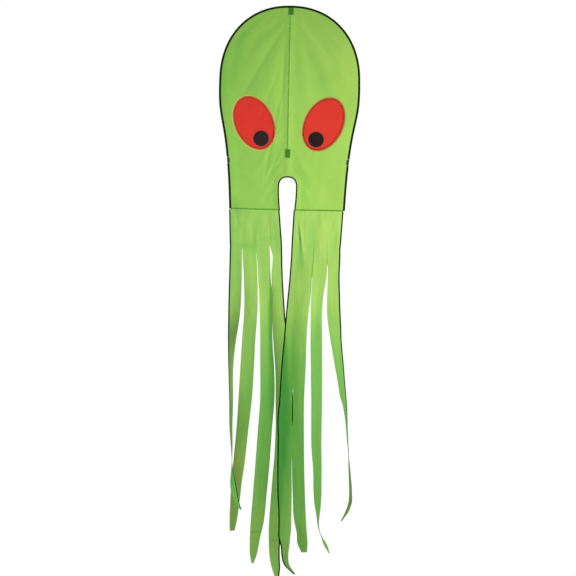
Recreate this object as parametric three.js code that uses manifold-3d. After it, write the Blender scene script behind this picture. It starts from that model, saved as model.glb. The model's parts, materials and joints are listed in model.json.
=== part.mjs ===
// Octopus kite: a head of ripstop cloth held open by rods round its edge and a spine behind it,
// and two legs of the same cloth, each slit into four long tentacles.
// Millimetres, +Z up, the painted face towards -Y, +X to the right as seen from the front.
// The origin is the middle of the edge rod at the nose, where the kite hangs.
import * as THREE from "three";
import Module from "manifold-3d";
import { mergeVertices } from "three/addons/utils/BufferGeometryUtils.js";

// General
const gap = 0.3; // left between pieces that touch
const clothThickness = 1;

// Outline of the head
const headHalfWidth = 339;
const crownTop = 5; // the sleeve stands this far above the middle of its rod
const crownHeight = 365; // from the top down to the widest level
const crownPower = 2.17; // superellipse exponent of the crown
const seamLevel = -979; // where the legs are sewn to the head
const seamHalfWidth = 278;
const sideBulge = { x: 345, z: -588 }; // the two handles of the curve down each side
const sideTuck = { x: 297, z: -515 };

// Rods and the sleeve round the edge
const rodRadius = 2;
const ferruleBore = 2.5;
const ferruleRadius = 3.1;
const ferruleLength = 60;
const rodEndGap = 1; // between the ends of two rods in one ferrule or connector
const sleeveBore = 3.8;
const sleeveRadius = 5.2;
const tubeSides = 8;
const edgeInset = sleeveRadius; // the rods run this far inside the outline
const connectorLevel = -744;
const connectorLength = 29;
const connectorRadius = 4.7;
const lobeRadius = 4.6;
const lobeInset = 5.5; // how far the lobes sit inside the rod's line
const lobeSpacing = 12;
const sideSleeveEnd = -976;
const capLength = 12;
const capRadius = 3.4;

// Spine
const spineTop = -10;
const spineBottom = -722;
const spineOffset = 3.6; // behind the sail's middle
const pocketWidth = 25;
const nosePocketLength = 34;
const basePocketLength = 41;
const pocketDepth = 5.4;
const pocketBore = 2.4;

// Eyes: tilted ellipses with a round pupil low on the inner side
const eyeCentre = { x: 167, z: -562 };
const eyeHalfLength = 135;
const eyeHalfWidth = 92.5;
const eyeTilt = THREE.MathUtils.degToRad(25.4);
const pupilCentre = { x: 132, z: -636 };
const pupilRadius = 38;
const appliqueThickness = 0.6;

// Notch between the legs, and the tapes
const notchHalfWidth = 40.5;
const notchCentre = -868; // where the round top becomes the straight sides
const notchHeight = 47;
const notchPower = 2.5;
const notchFoot = 33.3; // half-width at the cross seam
const tapeWidth = 6.7;
const tapeThickness = 1.6;
const seamTapeHeight = 7;

// Levels of the two lines that the tentacles bend at
const slitLevel = -1150;
const bendLevel = -1890;
const outerBendLevel = -1500; // the outer tentacles turn edge-on lower down, so they bend higher up
const hingeGap = 1.2;
const slitGap = 1;
const stationSpacing = 46; // between the cross sections of a tentacle

// Each leg: the distance of its edges from the middle, at the seam and at the slits
const legs = [
  { side: "left", sign: -1, topOuter: 278.3, topInner: 35.5, footOuter: 271.8, footInner: 19.5 },
  { side: "right", sign: 1, topOuter: 271.5, topInner: 31, footOuter: 261.8, footInner: 24.3 },
];

// Each tentacle hangs on its own way, as cross sections from the slit down to the tip:
// [level, x, y, width of the cloth, turn about the vertical in degrees]
const tentacles = [
  {
    name: "tentacle_1", side: "left", hem: -1, bend: outerBendLevel,
    stations: [
      [-1150, -241.7, 0, 59.5, 0],
      [-1300, -241, -2, 62, 6],
      [-1450, -242.7, -6, 62, 16],
      [-1500, -244.5, -8, 60.5, 26],
      [-1600, -250.3, -12, 60, 49.5],
      [-1730, -253.5, -16, 60, 69],
      [-1890, -248.5, -18, 60, 73.5],
      [-2015, -246, -20, 59, 78],
      [-2140, -239, -26, 57, 88],
      [-2235, -236, -33, 53, 104],
      [-2312, -227.5, -37, 46, 132],
      [-2374, -212, -38, 34, 134],
      [-2415, -190, -38, 13, 132],
    ],
  },
  {
    name: "tentacle_2", side: "left", hem: 0, bend: bendLevel,
    stations: [
      [-1150, -176.5, 0, 69, 0],
      [-1185, -176, 0.5, 68.5, 1],
      [-1300, -168.3, 3, 66.4, 4],
      [-1450, -163.5, 6, 65.8, 10],
      [-1605, -171.3, 8, 65.6, 8],
      [-1800, -178.2, 10, 67, 5],
      [-1890, -182.3, 10, 66.2, 8],
      [-2037, -192.7, 9, 61, 18],
      [-2181, -204.3, 8, 58.5, 16],
      [-2280, -213.5, 9, 57, 30],
      [-2369, -220.1, 10, 60, 41.7],
      [-2460, -226.1, 12, 54, 45.5],
      [-2523, -231, 13, 36, 48],
    ],
  },
  {
    name: "tentacle_3", side: "left", hem: 0, bend: bendLevel,
    stations: [
      [-1150, -110.3, 0, 61, 0],
      [-1185, -109.5, -0.5, 64, -1],
      [-1259, -104.5, -2, 62, -3],
      [-1336, -99, -4, 62, -5],
      [-1374, -93.7, -5.5, 66, -6],
      [-1450, -90.5, -7, 64.6, -8],
      [-1603, -86.1, -10, 60.7, -8],
      [-1719, -80.2, -10, 67.5, -3],
      [-1796, -76.8, -9, 69.5, 0],
      [-1890, -75.8, -8, 69.6, 2],
      [-2035, -84.2, -5, 68.7, 4],
      [-2199, -92.6, -2.5, 70, 8],
      [-2344, -102.4, 1, 68.3, 12],
      [-2488, -113, 5, 64.7, 15],
      [-2534, -119, 6.5, 55.7, 16],
      [-2584, -123.6, 8, 47.5, 18],
      [-2632, -127.1, 9, 36, 18],
      [-2676, -130, 10, 12, 18],
    ],
  },
  {
    name: "tentacle_4", side: "left", hem: 1, bend: bendLevel,
    stations: [
      [-1150, -49.2, 0, 59.5, 0],
      [-1185, -42.4, 1, 48.8, 0],
      [-1222, -40.9, 2, 48.3, 0],
      [-1297, -40.8, 4, 55.5, 0],
      [-1374, -35.6, 7, 56.7, 0],
      [-1450, -31.3, 10, 61.4, 1],
      [-1500, -28, 12, 64, 2],
      [-1604, -15, 16, 78, 5],
      [-1681, -6.5, 18, 81, 7],
      [-1757, -0.5, 20, 80, 8],
      [-1890, 6.5, 21, 86.5, 6],
      [-1984, 8.2, 20.5, 85, 6],
      [-2046, 7.1, 20, 82.3, 6],
      [-2161, 2, 19, 78.5, 8],
      [-2219, -4.5, 18.5, 73.5, 8],
      [-2391, -15.2, 17, 73.5, 10],
      [-2449, -21, 16, 69, 12],
      [-2506, -28.7, 15, 56.3, 12],
      [-2584, -26.7, 13.5, 56, 10],
      [-2632, -26, 13, 51, 10],
      [-2680, -19.4, 12, 46.5, 8],
      [-2742, -11.5, 11, 22, 6],
    ],
  },
  {
    name: "tentacle_5", side: "right", hem: -1, bend: bendLevel,
    stations: [
      [-1150, 50.7, 0, 53.5, 0],
      [-1180, 50.6, 0.8, 54, 0],
      [-1228, 49.7, 1.4, 56.5, 1],
      [-1300, 46, 2, 57, 2],
      [-1450, 32, 3, 52, 4],
      [-1600, 21, 4, 50, 6],
      [-1700, 18.3, 4, 59.5, 5],
      [-1793, 16.2, 4, 64.6, 4],
      [-1890, 12.6, 3, 64.8, 2],
      [-1988, 9.5, 2, 72, 2],
      [-2045, 13.8, 1, 75.3, 2],
      [-2197, 13, 0, 70.5, 4],
      [-2333, 16.3, -1, 70.5, 5],
      [-2449, 20.4, -2, 64, 8],
      [-2507, 20.8, -3, 63.5, 10],
      [-2564, 20.3, -3, 56, 14],
      [-2600, 25, -4, 41, 18],
      [-2666, 27.5, -4, 32, 20],
      [-2690, 42, -4, 24, 20],
      [-2723, 72, -4, 13, 20],
    ],
  },
  {
    name: "tentacle_6", side: "right", hem: 0, bend: bendLevel,
    stations: [
      [-1150, 105, 0, 53, 0],
      [-1180, 104.7, -1.6, 53, 0],
      [-1228, 102.5, -2.6, 54.5, 0],
      [-1290, 98.2, -4.5, 57, 1],
      [-1380, 93, -7, 60, 3],
      [-1446, 84.3, -9, 63, 4],
      [-1599, 74, -12, 66, 6],
      [-1724, 74.5, -12, 63, 6],
      [-1890, 74.5, -11, 54, 6],
      [-2040, 76.2, -9, 56, 8],
      [-2197, 78.5, -6, 60.5, 8],
      [-2392, 87.6, -3, 60.7, 8],
      [-2428, 89.8, -3, 61.5, 10],
      [-2488, 97, -1, 56.5, 13],
      [-2543, 105.7, 0, 51, 18],
      [-2584, 108.7, 0, 51.5, 20],
      [-2618, 117, 0, 29, 20],
    ],
  },
  {
    name: "tentacle_7", side: "right", hem: 0, bend: bendLevel,
    stations: [
      [-1150, 165, 0, 65, 0],
      [-1212, 164, -0.5, 67.5, -1],
      [-1290, 162, -2.5, 69, -4],
      [-1382, 154, -5, 60, -13],
      [-1444, 151.1, -7, 58, -18],
      [-1598, 153.1, -11, 60, -22],
      [-1723, 156.6, -13, 59.5, -22],
      [-1890, 161, -14, 56.7, -22],
      [-2121, 164.9, -12, 55.2, -30],
      [-2222, 171.8, -10, 55, -41],
      [-2361, 175.2, -8, 50, -45],
      [-2437, 178.5, -8, 46, -70],
      [-2482, 181, -9, 42, -80],
      [-2527, 194, -10, 36, -87],
      [-2552, 205.5, -10.5, 34, -75],
      [-2580, 218.5, -11, 30, -53],
      [-2600, 228, -11.5, 22, -47],
      [-2619, 237, -12, 7, -47],
    ],
  },
  {
    name: "tentacle_8", side: "right", hem: 1, bend: outerBendLevel,
    stations: [
      [-1150, 230.1, 0, 63, 0],
      [-1212, 230.3, 0, 62.5, -1],
      [-1290, 230.5, -1.5, 58.5, -3],
      [-1382, 232.1, -4, 63.2, -6],
      [-1443, 233.4, -6, 66.6, -8],
      [-1500, 237.5, -8, 66, -10],
      [-1596, 248.1, -12, 65, -34],
      [-1720, 266.4, -17, 62, -45],
      [-1787, 276.5, -19, 62, -54.5],
      [-1878, 289.5, -21, 61, -62],
      [-1907, 296, -21, 60, -69],
      [-2002, 307, -20, 60, -82],
      [-2100, 315, -18, 58, -88],
      [-2150, 320, -17, 57, -92],
      [-2198, 324, -16, 56, -99],
      [-2294, 331, -15, 56, -106],
      [-2342, 334, -14, 52, -108],
      [-2390, 329.3, -14, 42, -118],
      [-2438, 306, -15, 26, -123],
      [-2462, 291, -16, 13, -120],
    ],
  },
];

const colours = {
  sail: 0x93c552,
  leg: 0x9fcc62,
  seam: 0x6db046,
  sleeve: 0x12180e,
  tape: 0x232b1c,
  eye: 0xe03a30,
  pupil: 0x2b2b2d,
  rod: 0xd8d6cc,
  ferrule: 0xb9bcc0,
  vinyl: 0x101210,
  pocket: 0x2c3a22,
};

const wasm = await Module();
wasm.setup();

const kite = new THREE.Group();

function addMesh(name, geometry, colour, roughness = 0.7, metalness = 0) {
  const material = new THREE.MeshStandardMaterial({ color: colour, roughness, metalness });
  const mesh = new THREE.Mesh(geometry, material);
  mesh.name = name;
  kite.add(mesh);
}

// Solids: closed geometry to manifold and back

function toSolid(geometry) {
  const bare = new THREE.BufferGeometry();
  bare.setAttribute("position", geometry.getAttribute("position"));
  bare.setIndex(geometry.index);
  const merged = mergeVertices(bare, 1e-3);
  return new wasm.Manifold(new wasm.Mesh({
    numProp: 3,
    vertProperties: merged.attributes.position.array,
    triVerts: new Uint32Array(merged.index.array),
  }));
}

function toGeometry(solid) {
  const mesh = solid.getMesh();
  const geometry = new THREE.BufferGeometry();
  geometry.setAttribute("position", new THREE.BufferAttribute(mesh.vertProperties, 3));
  geometry.setIndex(new THREE.BufferAttribute(mesh.triVerts, 1));
  return geometry;
}

// The head's outline

// Right half of the outline, from the nose down to the cross seam.
function outlinePoints() {
  const crownSteps = 22;
  const widest = crownTop - crownHeight;
  const points = [];
  for (let i = 0; i <= crownSteps; i++) {
    const angle = (i / crownSteps) * (Math.PI / 2);
    const across = Math.sin(angle) ** (2 / crownPower);
    const up = Math.cos(angle) ** (2 / crownPower);
    points.push(new THREE.Vector2(headHalfWidth * across, widest + crownHeight * up));
  }
  const side = new THREE.CubicBezierCurve(
    new THREE.Vector2(headHalfWidth, widest),
    new THREE.Vector2(sideBulge.x, sideBulge.z),
    new THREE.Vector2(sideTuck.x, sideTuck.z),
    new THREE.Vector2(seamHalfWidth, seamLevel),
  );
  return points.concat(side.getPoints(20).slice(1));
}

// A smooth line that runs inside the outline, from the nose down one side.
function edgeCurve(inset, sign) {
  const outline = outlinePoints();
  const points = outline.map((point, i) => {
    const before = outline[Math.max(i - 1, 0)];
    const after = outline[Math.min(i + 1, outline.length - 1)];
    const along = after.clone().sub(before).normalize();
    if (i === 0) along.set(1, 0);
    const x = point.x + along.y * inset;
    const z = point.y - along.x * inset;
    return new THREE.Vector3(sign * Math.max(x, 0), 0, z);
  });
  return new THREE.CatmullRomCurve3(points, false, "centripetal");
}

// How far along a curve that only runs downward it passes a level, from 0 to 1.
function fractionAt(curve, level) {
  let above = 0;
  let below = 1;
  for (let i = 0; i < 30; i++) {
    const middle = (above + below) / 2;
    if (curve.getPointAt(middle).z > level) above = middle;
    else below = middle;
  }
  return (above + below) / 2;
}

// The part of a curve between two fractions of its length, as a curve of its own.
function stretch(curve, start, end, steps) {
  const points = [];
  for (let i = 0; i <= steps; i++) {
    points.push(curve.getPointAt(start + (i / steps) * (end - start)));
  }
  return new THREE.CatmullRomCurve3(points, false, "centripetal");
}

// The part of an edge between two levels.
function edgeBetween(sign, topLevel, bottomLevel, steps) {
  const edge = edgeCurve(edgeInset, sign);
  return stretch(edge, fractionAt(edge, topLevel), fractionAt(edge, bottomLevel), steps);
}

// From the left edge over the nose to the right one, down to the same level on both sides.
function archCurve(bottomLevel, steps) {
  const edge = edgeCurve(edgeInset, 1);
  const right = stretch(edge, 0, fractionAt(edge, bottomLevel), steps).points;
  const left = right.slice(1).map((p) => new THREE.Vector3(-p.x, p.y, p.z)).reverse();
  return new THREE.CatmullRomCurve3(left.concat(right), false, "centripetal");
}

// Rods, tubes and the sleeve

function circleOutline(target, radius, clockwise = false) {
  for (let i = 0; i < tubeSides; i++) {
    const angle = ((i + 0.5) / tubeSides) * 2 * Math.PI * (clockwise ? -1 : 1);
    const x = radius * Math.cos(angle);
    const y = radius * Math.sin(angle);
    if (i === 0) target.moveTo(x, y);
    else target.lineTo(x, y);
  }
  target.closePath();
}

function tubeAlong(curve, steps, radius, bore = 0) {
  const section = new THREE.Shape();
  circleOutline(section, radius);
  if (bore) {
    const hole = new THREE.Path();
    circleOutline(hole, bore, true);
    section.holes.push(hole);
  }
  return new THREE.ExtrudeGeometry(section, { steps, extrudePath: curve, bevelEnabled: false });
}

// Two rods meet in a ferrule at the nose, inside one sleeve that ends at the connectors.
function addArch() {
  const sleeveFoot = connectorLevel + connectorLength / 2 + gap;
  const sleeve = archCurve(sleeveFoot, 34);
  addMesh("arch_sleeve", tubeAlong(sleeve, 68, sleeveRadius, sleeveBore), colours.sleeve);
  for (const leg of legs) {
    const edge = edgeCurve(edgeInset, leg.sign);
    const start = rodEndGap / 2 / edge.getLength();
    const end = fractionAt(edge, connectorLevel + rodEndGap / 2);
    const rod = tubeAlong(stretch(edge, start, end, 34), 34, rodRadius);
    addMesh(`${leg.side}_arch_rod`, rod, colours.rod, 0.4);
  }
  const whole = archCurve(sleeveFoot, 34);
  const reach = ferruleLength / 2 / whole.getLength();
  const ferrule = stretch(whole, 0.5 - reach, 0.5 + reach, 4);
  addMesh("nose_ferrule", tubeAlong(ferrule, 6, ferruleRadius, ferruleBore), colours.ferrule, 0.35, 0.9);
}

function addSideRods() {
  const sleeveHead = connectorLevel - connectorLength / 2 - gap;
  for (const leg of legs) {
    const sleeve = edgeBetween(leg.sign, sleeveHead, sideSleeveEnd, 8);
    addMesh(`${leg.side}_side_sleeve`, tubeAlong(sleeve, 8, sleeveRadius, sleeveBore), colours.sleeve);
    const rod = edgeBetween(leg.sign, connectorLevel - rodEndGap / 2, sideSleeveEnd + capLength, 8);
    addMesh(`${leg.side}_side_rod`, tubeAlong(rod, 8, rodRadius), colours.rod, 0.4);
    // a soft cap closes the end of the sleeve under the rod
    const cap = edgeBetween(leg.sign, sideSleeveEnd + capLength - gap, sideSleeveEnd + 1, 2);
    addMesh(`${leg.side}_rod_cap`, tubeAlong(cap, 2, capRadius), colours.vinyl, 0.6);
  }
}

// A vinyl sleeve joins the arch rod to the side rod, with two lobes on its inner side.
function addConnectors() {
  const top = connectorLevel + connectorLength / 2;
  const bottom = connectorLevel - connectorLength / 2;
  for (const leg of legs) {
    const run = edgeBetween(leg.sign, top, bottom, 4);
    let body = toSolid(tubeAlong(run, 4, connectorRadius));
    const middle = run.getPointAt(0.5);
    const along = run.getTangentAt(0.5);
    for (const end of [-1, 1]) {
      const lobe = new THREE.SphereGeometry(lobeRadius, 12, 8);
      const slide = (end * lobeSpacing) / 2;
      lobe.translate(middle.x - leg.sign * lobeInset + along.x * slide, 0, middle.z + along.z * slide);
      body = body.add(toSolid(lobe));
    }
    const longer = edgeBetween(leg.sign, top + 8, bottom - 8, 4);
    body = body.subtract(toSolid(tubeAlong(longer, 8, ferruleBore)));
    addMesh(`${leg.side}_rod_connector`, toGeometry(body), colours.vinyl, 0.5);
  }
}

// The sail and what is sewn on it

// Half-width of the clear notch, from its round top down to the cross seam.
function notchEdge(extra) {
  const points = [];
  const roundSteps = 9;
  for (let i = 0; i <= roundSteps; i++) {
    const angle = (i / roundSteps) * (Math.PI / 2);
    const across = Math.sin(angle) ** (2 / notchPower);
    const up = Math.cos(angle) ** (2 / notchPower);
    points.push(new THREE.Vector2(
      (notchHalfWidth + extra) * across,
      notchCentre + (notchHeight + extra) * up,
    ));
  }
  const side = new THREE.QuadraticBezierCurve(
    new THREE.Vector2(notchHalfWidth + extra, notchCentre),
    new THREE.Vector2(notchHalfWidth + extra, (notchCentre + seamLevel) / 2),
    new THREE.Vector2(notchFoot + extra, seamLevel),
  );
  return points.concat(side.getPoints(6).slice(1));
}

// Closed outline in the XZ plane to a sheet between two depths.
function sheet(outline, front, back, holes = []) {
  const shape = new THREE.Shape(outline);
  shape.holes = holes;
  const geometry = new THREE.ExtrudeGeometry(shape, { depth: back - front, bevelEnabled: false });
  geometry.rotateX(Math.PI / 2);
  geometry.translate(0, back, 0);
  return geometry;
}

function mirrored(points) {
  return points.slice().reverse().map((p) => new THREE.Vector2(-p.x, p.y));
}

function addHeadSail() {
  const inset = 2 * sleeveRadius + gap;
  const right = edgeCurve(inset, 1).points.map((p) => new THREE.Vector2(p.x, p.z));
  const foot = right.pop();
  right.push(new THREE.Vector2(foot.x, seamLevel + gap));
  const notch = notchEdge(tapeWidth + gap).reverse();
  notch[0] = new THREE.Vector2(notch[0].x, seamLevel + gap);
  const half = right.concat(notch);
  const outline = half.concat(mirrored(half).slice(1, -1));
  let sail = toSolid(sheet(outline, -clothThickness / 2, clothThickness / 2));
  for (const leg of legs) {
    // the cloth is cut back here, so that the connector can be reached
    const middle = edgeBetween(leg.sign, connectorLevel + 1, connectorLevel - 1, 1).points[0];
    const opening = new THREE.CylinderGeometry(1, 1, 4, 24);
    opening.scale(2 * lobeInset + 2.5, 1, connectorLength / 2 + 2);
    opening.translate(middle.x, 0, middle.z);
    sail = sail.subtract(toSolid(opening));
  }
  addMesh("head_sail", toGeometry(sail), colours.sail);
}

function addNotchBinding() {
  const inner = notchEdge(0);
  const outer = notchEdge(tapeWidth).reverse();
  const trimmed = (points) => points.map((p) => new THREE.Vector2(p.x, Math.max(p.y, seamLevel + gap)));
  const outside = trimmed(outer);
  const inside = trimmed(inner);
  const outline = outside
    .concat(mirrored(outside).slice(1))
    .concat(mirrored(inside))
    .concat(inside.slice(1));
  const band = sheet(dropRepeats(outline), -tapeThickness / 2, tapeThickness / 2);
  addMesh("notch_binding", band, colours.tape);
}

function dropRepeats(points) {
  return points.filter((p, i) => p.distanceTo(points[(i + 1) % points.length]) > 1e-3);
}

function ellipseOutline(centre, halfAcross, halfUp, tilt, steps) {
  const points = [];
  for (let i = 0; i < steps; i++) {
    const angle = (i / steps) * 2 * Math.PI;
    const point = new THREE.Vector2(halfAcross * Math.cos(angle), halfUp * Math.sin(angle));
    point.rotateAround(new THREE.Vector2(), tilt);
    points.push(point.add(new THREE.Vector2(centre.x, centre.z)));
  }
  return points;
}

// The eyes lean outward at the top; each pupil is sewn on its eye.
function addEyes() {
  const eyeBack = -clothThickness / 2 - gap;
  const eyeFront = eyeBack - appliqueThickness;
  const pupilBack = eyeFront - gap;
  for (const leg of legs) {
    const eye = { x: leg.sign * eyeCentre.x, z: eyeCentre.z };
    const pupil = { x: leg.sign * pupilCentre.x, z: pupilCentre.z };
    const eyeOutline = ellipseOutline(eye, eyeHalfWidth, eyeHalfLength, -leg.sign * eyeTilt, 56);
    const pupilOutline = ellipseOutline(pupil, pupilRadius, pupilRadius, 0, 36);
    addMesh(`${leg.side}_eye`, sheet(eyeOutline, eyeFront, eyeBack), colours.eye);
    addMesh(
      `${leg.side}_pupil`,
      sheet(pupilOutline, pupilBack - appliqueThickness, pupilBack),
      colours.pupil,
    );
  }
}

function addSpine() {
  const line = new THREE.LineCurve3(
    new THREE.Vector3(0, spineOffset, spineTop),
    new THREE.Vector3(0, spineOffset, spineBottom),
  );
  addMesh("spine_rod", tubeAlong(line, 1, rodRadius), colours.rod, 0.4);
  addPocket("nose_pocket", spineTop + 4, -1, nosePocketLength);
  addPocket("spine_base_pocket", spineBottom - 4, 1, basePocketLength);
}

// A pocket closed at one end, sewn to the back of the sail over the end of the spine.
function addPocket(name, closedLevel, openDirection, length) {
  const front = clothThickness / 2 + gap;
  const block = new THREE.BoxGeometry(pocketWidth, pocketDepth, length);
  const middle = closedLevel + (openDirection * length) / 2;
  block.translate(0, front + pocketDepth / 2, middle);
  const bore = new THREE.CylinderGeometry(pocketBore, pocketBore, length, 12);
  bore.rotateX(Math.PI / 2);
  bore.translate(0, spineOffset, middle + openDirection * 3);
  addMesh(name, toGeometry(toSolid(block).subtract(toSolid(bore))), colours.pocket, 0.8);
}

// Legs

// A flat quadrilateral of cloth between two levels, from its edges' distances from the middle.
function legSheet(leg, topLevel, bottomLevel, topNear, topFar, bottomNear, bottomFar, thickness) {
  const corners = [
    [topNear, topLevel],
    [topFar, topLevel],
    [bottomFar, bottomLevel],
    [bottomNear, bottomLevel],
  ];
  const outline = corners.map(([x, z]) => new THREE.Vector2(leg.sign * x, z));
  if (leg.sign > 0) outline.reverse();
  return sheet(outline, -thickness / 2, thickness / 2);
}

function addLegs() {
  for (const leg of legs) {
    const top = seamLevel - hingeGap / 2;
    const foot = slitLevel + hingeGap / 2;
    const cut = tapeWidth + gap;
    addMesh(
      `${leg.side}_leg_panel`,
      legSheet(leg, top, foot, leg.topInner + cut, leg.topOuter - cut,
        leg.footInner + cut, leg.footOuter - cut, clothThickness),
      colours.leg,
    );
    addMesh(
      `${leg.side}_leg_outer_hem`,
      legSheet(leg, top, foot, leg.topOuter - tapeWidth, leg.topOuter,
        leg.footOuter - tapeWidth, leg.footOuter, tapeThickness),
      colours.tape,
    );
    addMesh(
      `${leg.side}_leg_inner_hem`,
      legSheet(leg, top, foot, leg.topInner, leg.topInner + tapeWidth,
        leg.footInner, leg.footInner + tapeWidth, tapeThickness),
      colours.tape,
    );
    addSeamTape(leg);
  }
}

// The turned-in edge of the cross seam, a double strip of cloth behind the sail's foot. It ends
// short of the sleeve, of the notch's binding and of the leg's hems.
function addSeamTape(leg) {
  const near = Math.max(notchFoot, leg.topInner) + tapeWidth + 2 * gap;
  const far = Math.min(seamHalfWidth - 2 * sleeveRadius, leg.topOuter - tapeWidth) - 2 * gap;
  const front = clothThickness / 2 + gap;
  const tape = new THREE.BoxGeometry(far - near, clothThickness, seamTapeHeight);
  tape.translate(
    (leg.sign * (near + far)) / 2,
    front + clothThickness / 2,
    seamLevel + gap + seamTapeHeight / 2,
  );
  addMesh(`${leg.side}_cross_seam`, tape, colours.seam);
}

// Tentacles

// Cross sections between the stations follow a smooth curve through them.
function sectionAt(tentacle) {
  const levels = tentacle.stations.map((s) => -s[0]);
  const values = tentacle.stations.flatMap((s) => s.slice(1));
  const smooth = new THREE.CubicInterpolant(levels, values, 4);
  return (level) => {
    const [x, y, width, turn] = smooth.evaluate(-level);
    const angle = THREE.MathUtils.degToRad(turn);
    return { x, y, width, cos: Math.cos(angle), sin: Math.sin(angle) };
  };
}

// A strip of the tentacle between two levels. The edges are distances from the middle of the cloth,
// given as functions of its width.
function ribbon(tentacle, topLevel, bottomLevel, nearEdge, farEdge, thickness, columns) {
  const section = sectionAt(tentacle);
  const rows = Math.ceil((topLevel - bottomLevel) / stationSpacing);
  const around = 2 * (columns + 1);
  const positions = [];
  for (let row = 0; row <= rows; row++) {
    const level = topLevel + (row / rows) * (bottomLevel - topLevel);
    const { x, y, width, cos, sin } = section(level);
    for (let k = 0; k < around; k++) {
      const inFront = k <= columns;
      const across = (inFront ? k : around - 1 - k) / columns;
      const reach = nearEdge(width) + across * (farEdge(width) - nearEdge(width));
      const through = (inFront ? -thickness : thickness) / 2;
      positions.push(x + reach * cos - through * sin, y + reach * sin + through * cos, level);
    }
  }
  const geometry = new THREE.BufferGeometry();
  geometry.setAttribute("position", new THREE.Float32BufferAttribute(positions, 3));
  geometry.setIndex(ribbonFaces(rows, columns));
  return geometry;
}

// Faces between the rings of a ribbon, with the same diagonals in front and behind, so that a
// twisted strip keeps its thickness.
function ribbonFaces(rows, columns) {
  const around = 2 * (columns + 1);
  const faces = [];
  for (let row = 0; row < rows; row++) {
    for (let k = 0; k < around; k++) {
      const a = row * around + k;
      const b = row * around + ((k + 1) % around);
      const c = b + around;
      const d = a + around;
      if (k <= columns) faces.push(a, d, c, a, c, b);
      else faces.push(a, d, b, b, d, c);
    }
  }
  const last = rows * around;
  for (let k = 0; k < columns; k++) {
    const opposite = around - 1 - k;
    faces.push(k, k + 1, opposite, k + 1, opposite - 1, opposite);
    faces.push(last + k, last + opposite, last + k + 1);
    faces.push(last + k + 1, last + opposite, last + opposite - 1);
  }
  return faces;
}

function addTentacles() {
  for (const tentacle of tentacles) {
    const tip = tentacle.stations.at(-1)[0];
    const lengths = [
      { part: "upper", top: slitLevel - hingeGap / 2, bottom: tentacle.bend + hingeGap / 2 },
      { part: "lower", top: tentacle.bend - hingeGap / 2, bottom: tip },
    ];
    const cut = tapeWidth + gap;
    const left = (width) => -width / 2 + slitGap / 2 + (tentacle.hem < 0 ? cut : 0);
    const right = (width) => width / 2 - slitGap / 2 - (tentacle.hem > 0 ? cut : 0);
    for (const { part, top, bottom } of lengths) {
      addMesh(
        `${tentacle.name}_${part}`,
        ribbon(tentacle, top, bottom, left, right, clothThickness, 2),
        colours.leg,
      );
      if (!tentacle.hem) continue;
      const outside = (width) => tentacle.hem * (width / 2 - slitGap / 2);
      const inside = (width) => outside(width) - tentacle.hem * tapeWidth;
      const [near, far] = tentacle.hem < 0 ? [outside, inside] : [inside, outside];
      addMesh(
        `${tentacle.name}_${part}_hem`,
        ribbon(tentacle, top, bottom, near, far, tapeThickness, 1),
        colours.tape,
      );
    }
  }
}

addHeadSail();
addNotchBinding();
addArch();
addSideRods();
addConnectors();
addSpine();
addEyes();
addLegs();
addTentacles();

export default kite;
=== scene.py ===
"""Octopus kite: the cloth, tapes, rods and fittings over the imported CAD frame. Metres, +Z up."""
import json
import math

import bmesh
import bpy
import numpy as np
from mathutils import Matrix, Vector, noise
from mathutils.geometry import delaunay_2d_cdt

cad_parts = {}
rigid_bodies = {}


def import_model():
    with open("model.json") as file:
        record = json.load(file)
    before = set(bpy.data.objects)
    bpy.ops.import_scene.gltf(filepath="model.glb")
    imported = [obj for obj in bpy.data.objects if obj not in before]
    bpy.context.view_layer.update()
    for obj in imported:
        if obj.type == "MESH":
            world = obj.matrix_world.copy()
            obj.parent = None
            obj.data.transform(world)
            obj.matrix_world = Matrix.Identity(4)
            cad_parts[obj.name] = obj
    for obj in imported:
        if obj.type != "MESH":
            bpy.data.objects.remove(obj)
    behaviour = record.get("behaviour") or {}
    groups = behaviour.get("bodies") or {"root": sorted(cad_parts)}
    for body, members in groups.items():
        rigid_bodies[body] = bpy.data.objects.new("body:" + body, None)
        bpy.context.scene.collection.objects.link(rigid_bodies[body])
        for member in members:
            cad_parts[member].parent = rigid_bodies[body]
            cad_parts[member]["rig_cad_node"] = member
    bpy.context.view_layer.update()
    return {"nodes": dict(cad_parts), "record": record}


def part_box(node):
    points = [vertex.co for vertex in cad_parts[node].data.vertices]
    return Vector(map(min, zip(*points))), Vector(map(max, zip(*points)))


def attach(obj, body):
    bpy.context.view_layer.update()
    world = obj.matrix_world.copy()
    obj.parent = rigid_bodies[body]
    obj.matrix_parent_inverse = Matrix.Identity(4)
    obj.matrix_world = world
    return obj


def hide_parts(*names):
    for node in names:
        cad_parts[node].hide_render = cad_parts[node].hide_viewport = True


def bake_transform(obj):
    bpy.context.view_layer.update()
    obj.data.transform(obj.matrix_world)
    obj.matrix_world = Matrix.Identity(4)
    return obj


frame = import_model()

MM = 0.001

# The head, as in the CAD
HEAD_HALF_WIDTH = 339 * MM
CROWN_TOP = 5 * MM
CROWN_HEIGHT = 365 * MM
CROWN_POWER = 2.17
SEAM_LEVEL = -979 * MM
SEAM_HALF_WIDTH = 278 * MM
SIDE_BULGE = (345 * MM, -588 * MM)
SIDE_TUCK = (297 * MM, -515 * MM)
NOTCH_HALF_WIDTH = 40.5 * MM
NOTCH_CENTRE = -868 * MM
NOTCH_HEIGHT = 47 * MM
NOTCH_POWER = 2.5
NOTCH_FOOT = 33.3 * MM
EYE_CENTRE = (167 * MM, -562 * MM)
EYE_HALF_LENGTH = 135 * MM
EYE_HALF_WIDTH = 92.5 * MM
EYE_TILT = math.radians(25.4)
PUPIL_CENTRE = (132 * MM, -636 * MM)
PUPIL_RADIUS = 38 * MM
CONNECTOR_LEVEL = -744 * MM
CONNECTOR_LENGTH = 29 * MM
CONNECTOR_RADIUS = 4.6 * MM
CONNECTOR_INSET = 5.2 * MM
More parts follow.
